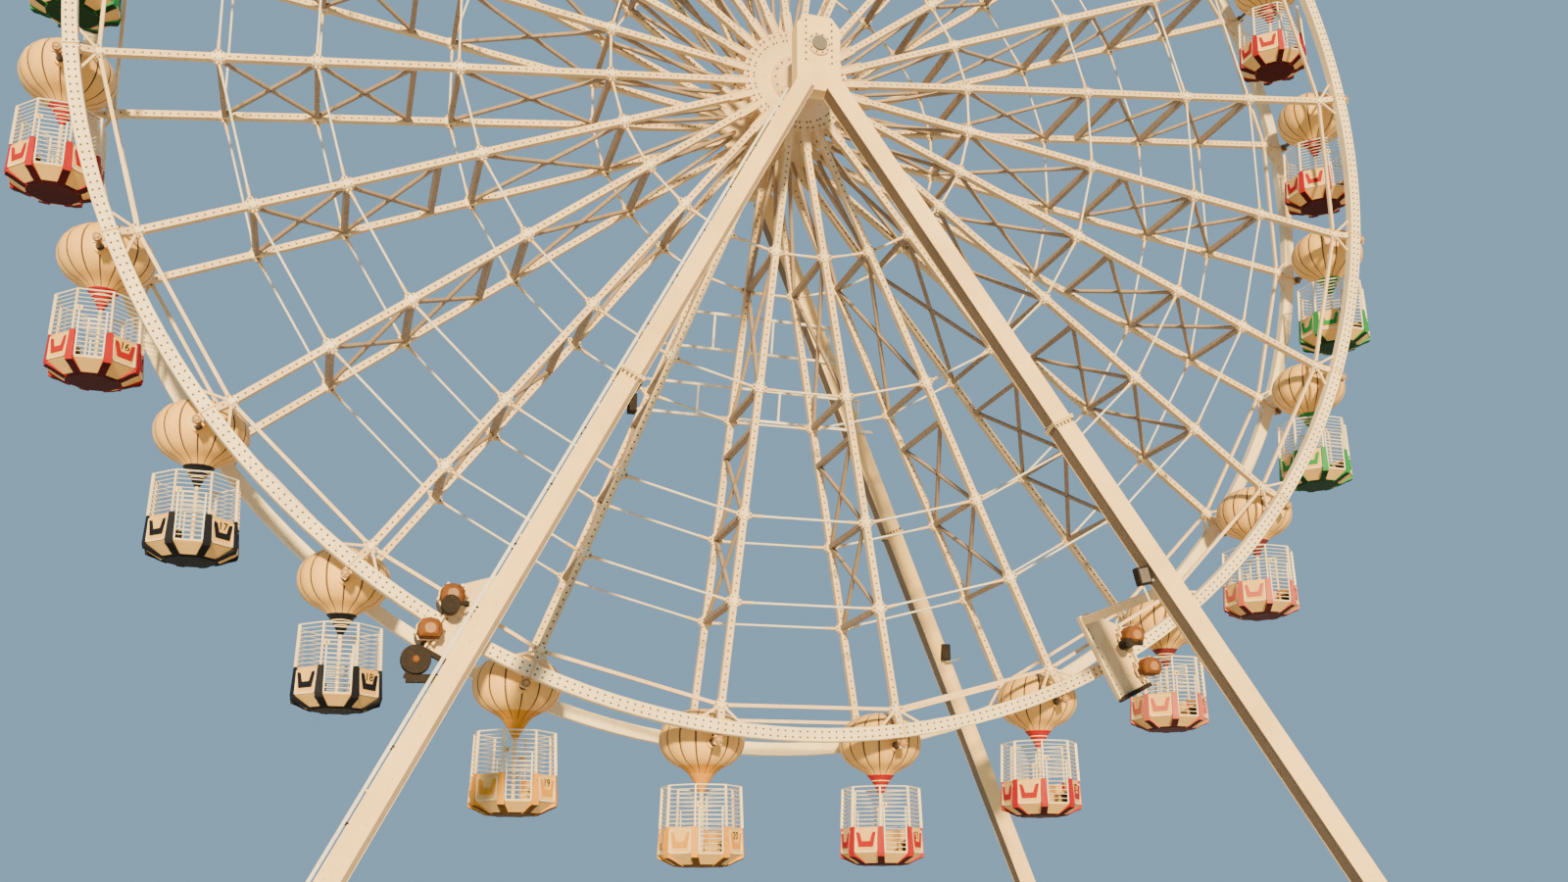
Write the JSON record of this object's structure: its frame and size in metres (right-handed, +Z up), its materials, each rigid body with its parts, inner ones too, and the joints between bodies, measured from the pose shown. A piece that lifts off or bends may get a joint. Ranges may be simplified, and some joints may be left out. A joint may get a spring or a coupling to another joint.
{
  "type": "ferris wheel",
  "caption": "Free-standing ferris wheel: twin rims and truss spokes on a hub, balloon-topped gondolas that stay level, A-frame legs on base beams and friction tyre drives at the rim.",
  "frame": {"origin": "centre of the box on the ground, below the middle of the main axle", "axes": "+X to the right seen from the boarding side, +Y away from the boarding side along the axle, +Z up"},
  "size_m": [32.1286, 16, 35.9343],
  "materials": {
    "cream_paint": "satin cream paint, grimy at the edges",
    "white_paint": "satin off-white paint",
    "grey_steel": "matt grey paint with dust",
    "orange_cover": "faded orange paint with rust",
    "tyre": "worn black rubber",
    "gondola_shell": "cream laminate with coloured ribs, semi gloss"
  },
  "bodies": {
    "stand": {"front_left_leg": "cream_paint", "front_right_leg": "cream_paint", "rear_left_leg": "cream_paint", "rear_right_leg": "cream_paint", "front_head": "cream_paint", "rear_head": "cream_paint", "main_axle": "grey_steel", "left_base_beam": "grey_steel", "right_base_beam": "grey_steel", "front_base_beam": "grey_steel", "rear_base_beam": "grey_steel", "upper_tie_frame": "white_paint", "lower_tie_frame": "white_paint", "access_ladder": "white_paint", "left_drive_arm": "orange_cover", "right_drive_arm": "orange_cover"},
    "wheel": {"hub": "cream_paint", "front_rim": "cream_paint", "rear_rim": "cream_paint", "spokes_01_02": "cream_paint", "spokes_03_04": "cream_paint", "spokes_05_06": "cream_paint", "spokes_07_08": "cream_paint", "spokes_09_10": "cream_paint", "spokes_11_12": "cream_paint", "spokes_13_14": "cream_paint", "spokes_15_16": "cream_paint", "spokes_17_18": "cream_paint", "spokes_19_20": "cream_paint", "spokes_21_22": "cream_paint", "spokes_23_24": "cream_paint"},
    "gondola_01": {"gondola_01": "gondola_shell"},
    "gondola_02": {"gondola_02": "gondola_shell"},
    "gondola_03": {"gondola_03": "gondola_shell"},
    "gondola_04": {"gondola_04": "gondola_shell"},
    "gondola_05": {"gondola_05": "gondola_shell"},
    "gondola_06": {"gondola_06": "gondola_shell"},
    "gondola_07": {"gondola_07": "gondola_shell"},
    "gondola_08": {"gondola_08": "gondola_shell"},
    "gondola_09": {"gondola_09": "gondola_shell"},
    "gondola_10": {"gondola_10": "gondola_shell"},
    "gondola_11": {"gondola_11": "gondola_shell"},
    "gondola_12": {"gondola_12": "gondola_shell"},
    "gondola_13": {"gondola_13": "gondola_shell"},
    "gondola_14": {"gondola_14": "gondola_shell"},
    "gondola_15": {"gondola_15": "gondola_shell"},
    "gondola_16": {"gondola_16": "gondola_shell"},
    "gondola_17": {"gondola_17": "gondola_shell"},
    "gondola_18": {"gondola_18": "gondola_shell"},
    "gondola_19": {"gondola_19": "gondola_shell"},
    "gondola_20": {"gondola_20": "gondola_shell"},
    "gondola_21": {"gondola_21": "gondola_shell"},
    "gondola_22": {"gondola_22": "gondola_shell"},
    "gondola_23": {"gondola_23": "gondola_shell"},
    "gondola_24": {"gondola_24": "gondola_shell"},
    "left_inner_tyre": {"left_inner_tyre": "tyre"},
    "left_outer_tyre": {"left_outer_tyre": "tyre"},
    "right_inner_tyre": {"right_inner_tyre": "tyre"},
    "right_outer_tyre": {"right_outer_tyre": "tyre"}
  },
  "joints": [
    {"name": "wheel_turn", "type": "hinge", "parent": "stand", "child": "wheel", "pos_m": [0, 0, 20], "axis": [0, 1, 0], "continuous": true},
    {"name": "gondola_01_swing", "type": "hinge", "parent": "wheel", "child": "gondola_01", "pos_m": [-15.14429, 0, 21.79245], "axis": [0, 1, 0], "continuous": true},
    {"name": "gondola_02_swing", "type": "hinge", "parent": "wheel", "child": "gondola_02", "pos_m": [-15.09218, 0, 17.81174], "axis": [0, 1, 0], "continuous": true},
    {"name": "gondola_03_swing", "type": "hinge", "parent": "wheel", "child": "gondola_03", "pos_m": [-14.01157, 0, 13.98016], "axis": [0, 1, 0], "continuous": true},
    {"name": "gondola_04_swing", "type": "hinge", "parent": "wheel", "child": "gondola_04", "pos_m": [-11.97608, 0, 10.55882], "axis": [0, 1, 0], "continuous": true},
    {"name": "gondola_05_swing", "type": "hinge", "parent": "wheel", "child": "gondola_05", "pos_m": [-9.12445, 0, 7.78088], "axis": [0, 1, 0], "continuous": true},
    {"name": "gondola_06_swing", "type": "hinge", "parent": "wheel", "child": "gondola_06", "pos_m": [-5.651, 0, 5.83565], "axis": [0, 1, 0], "continuous": true},
    {"name": "gondola_07_swing", "type": "hinge", "parent": "wheel", "child": "gondola_07", "pos_m": [-1.79245, 0, 4.85571], "axis": [0, 1, 0], "continuous": true},
    {"name": "gondola_08_swing", "type": "hinge", "parent": "wheel", "child": "gondola_08", "pos_m": [2.18826, 0, 4.90782], "axis": [0, 1, 0], "continuous": true},
    {"name": "gondola_09_swing", "type": "hinge", "parent": "wheel", "child": "gondola_09", "pos_m": [6.01984, 0, 5.98843], "axis": [0, 1, 0], "continuous": true},
    {"name": "gondola_10_swing", "type": "hinge", "parent": "wheel", "child": "gondola_10", "pos_m": [9.44118, 0, 8.02392], "axis": [0, 1, 0], "continuous": true},
    {"name": "gondola_11_swing", "type": "hinge", "parent": "wheel", "child": "gondola_11", "pos_m": [12.21912, 0, 10.87555], "axis": [0, 1, 0], "continuous": true},
    {"name": "gondola_12_swing", "type": "hinge", "parent": "wheel", "child": "gondola_12", "pos_m": [14.16435, 0, 14.349], "axis": [0, 1, 0], "continuous": true},
    {"name": "gondola_13_swing", "type": "hinge", "parent": "wheel", "child": "gondola_13", "pos_m": [15.14429, 0, 18.20755], "axis": [0, 1, 0], "continuous": true},
    {"name": "gondola_14_swing", "type": "hinge", "parent": "wheel", "child": "gondola_14", "pos_m": [15.09218, 0, 22.18826], "axis": [0, 1, 0], "continuous": true},
    {"name": "gondola_15_swing", "type": "hinge", "parent": "wheel", "child": "gondola_15", "pos_m": [14.01157, 0, 26.01984], "axis": [0, 1, 0], "continuous": true},
    {"name": "gondola_16_swing", "type": "hinge", "parent": "wheel", "child": "gondola_16", "pos_m": [11.97608, 0, 29.44118], "axis": [0, 1, 0], "continuous": true},
    {"name": "gondola_17_swing", "type": "hinge", "parent": "wheel", "child": "gondola_17", "pos_m": [9.12445, 0, 32.21912], "axis": [0, 1, 0], "continuous": true},
    {"name": "gondola_18_swing", "type": "hinge", "parent": "wheel", "child": "gondola_18", "pos_m": [5.651, 0, 34.16435], "axis": [0, 1, 0], "continuous": true},
    {"name": "gondola_19_swing", "type": "hinge", "parent": "wheel", "child": "gondola_19", "pos_m": [1.79245, 0, 35.14429], "axis": [0, 1, 0], "continuous": true},
    {"name": "gondola_20_swing", "type": "hinge", "parent": "wheel", "child": "gondola_20", "pos_m": [-2.18826, 0, 35.09218], "axis": [0, 1, 0], "continuous": true},
    {"name": "gondola_21_swing", "type": "hinge", "parent": "wheel", "child": "gondola_21", "pos_m": [-6.01984, 0, 34.01157], "axis": [0, 1, 0], "continuous": true},
    {"name": "gondola_22_swing", "type": "hinge", "parent": "wheel", "child": "gondola_22", "pos_m": [-9.44118, 0, 31.97608], "axis": [0, 1, 0], "continuous": true},
    {"name": "gondola_23_swing", "type": "hinge", "parent": "wheel", "child": "gondola_23", "pos_m": [-12.21912, 0, 29.12445], "axis": [0, 1, 0], "continuous": true},
    {"name": "gondola_24_swing", "type": "hinge", "parent": "wheel", "child": "gondola_24", "pos_m": [-14.16435, 0, 25.651], "axis": [0, 1, 0], "continuous": true},
    {"name": "left_inner_tyre_spin", "type": "hinge", "parent": "stand", "child": "left_inner_tyre", "pos_m": [-7.2012, -1.424, 7.27192], "axis": [0, 1, 0], "continuous": true},
    {"name": "left_outer_tyre_spin", "type": "hinge", "parent": "stand", "child": "left_outer_tyre", "pos_m": [-7.57861, -1.424, 6.60486], "axis": [0, 1, 0], "continuous": true},
    {"name": "right_inner_tyre_spin", "type": "hinge", "parent": "stand", "child": "right_inner_tyre", "pos_m": [7.2012, -1.424, 7.27192], "axis": [0, 1, 0], "continuous": true},
    {"name": "right_outer_tyre_spin", "type": "hinge", "parent": "stand", "child": "right_outer_tyre", "pos_m": [7.57861, -1.424, 6.60486], "axis": [0, 1, 0], "continuous": true}
  ],
  "couplings": [
    {"joint": "gondola_01_swing", "follows": "wheel_turn", "ratio": -1},
    {"joint": "gondola_02_swing", "follows": "wheel_turn", "ratio": -1},
    {"joint": "gondola_03_swing", "follows": "wheel_turn", "ratio": -1},
    {"joint": "gondola_04_swing", "follows": "wheel_turn", "ratio": -1},
    {"joint": "gondola_05_swing", "follows": "wheel_turn", "ratio": -1},
    {"joint": "gondola_06_swing", "follows": "wheel_turn", "ratio": -1},
    {"joint": "gondola_07_swing", "follows": "wheel_turn", "ratio": -1},
    {"joint": "gondola_08_swing", "follows": "wheel_turn", "ratio": -1},
    {"joint": "gondola_09_swing", "follows": "wheel_turn", "ratio": -1},
    {"joint": "gondola_10_swing", "follows": "wheel_turn", "ratio": -1},
    {"joint": "gondola_11_swing", "follows": "wheel_turn", "ratio": -1},
    {"joint": "gondola_12_swing", "follows": "wheel_turn", "ratio": -1},
    {"joint": "gondola_13_swing", "follows": "wheel_turn", "ratio": -1},
    {"joint": "gondola_14_swing", "follows": "wheel_turn", "ratio": -1},
    {"joint": "gondola_15_swing", "follows": "wheel_turn", "ratio": -1},
    {"joint": "gondola_16_swing", "follows": "wheel_turn", "ratio": -1},
    {"joint": "gondola_17_swing", "follows": "wheel_turn", "ratio": -1},
    {"joint": "gondola_18_swing", "follows": "wheel_turn", "ratio": -1},
    {"joint": "gondola_19_swing", "follows": "wheel_turn", "ratio": -1},
    {"joint": "gondola_20_swing", "follows": "wheel_turn", "ratio": -1},
    {"joint": "gondola_21_swing", "follows": "wheel_turn", "ratio": -1},
    {"joint": "gondola_22_swing", "follows": "wheel_turn", "ratio": -1},
    {"joint": "gondola_23_swing", "follows": "wheel_turn", "ratio": -1},
    {"joint": "gondola_24_swing", "follows": "wheel_turn", "ratio": -1},
    {"joint": "left_inner_tyre_spin", "follows": "wheel_turn", "ratio": 64.609},
    {"joint": "left_outer_tyre_spin", "follows": "wheel_turn", "ratio": -65.889},
    {"joint": "right_inner_tyre_spin", "follows": "wheel_turn", "ratio": 64.609},
    {"joint": "right_outer_tyre_spin", "follows": "wheel_turn", "ratio": -65.889}
  ]
}
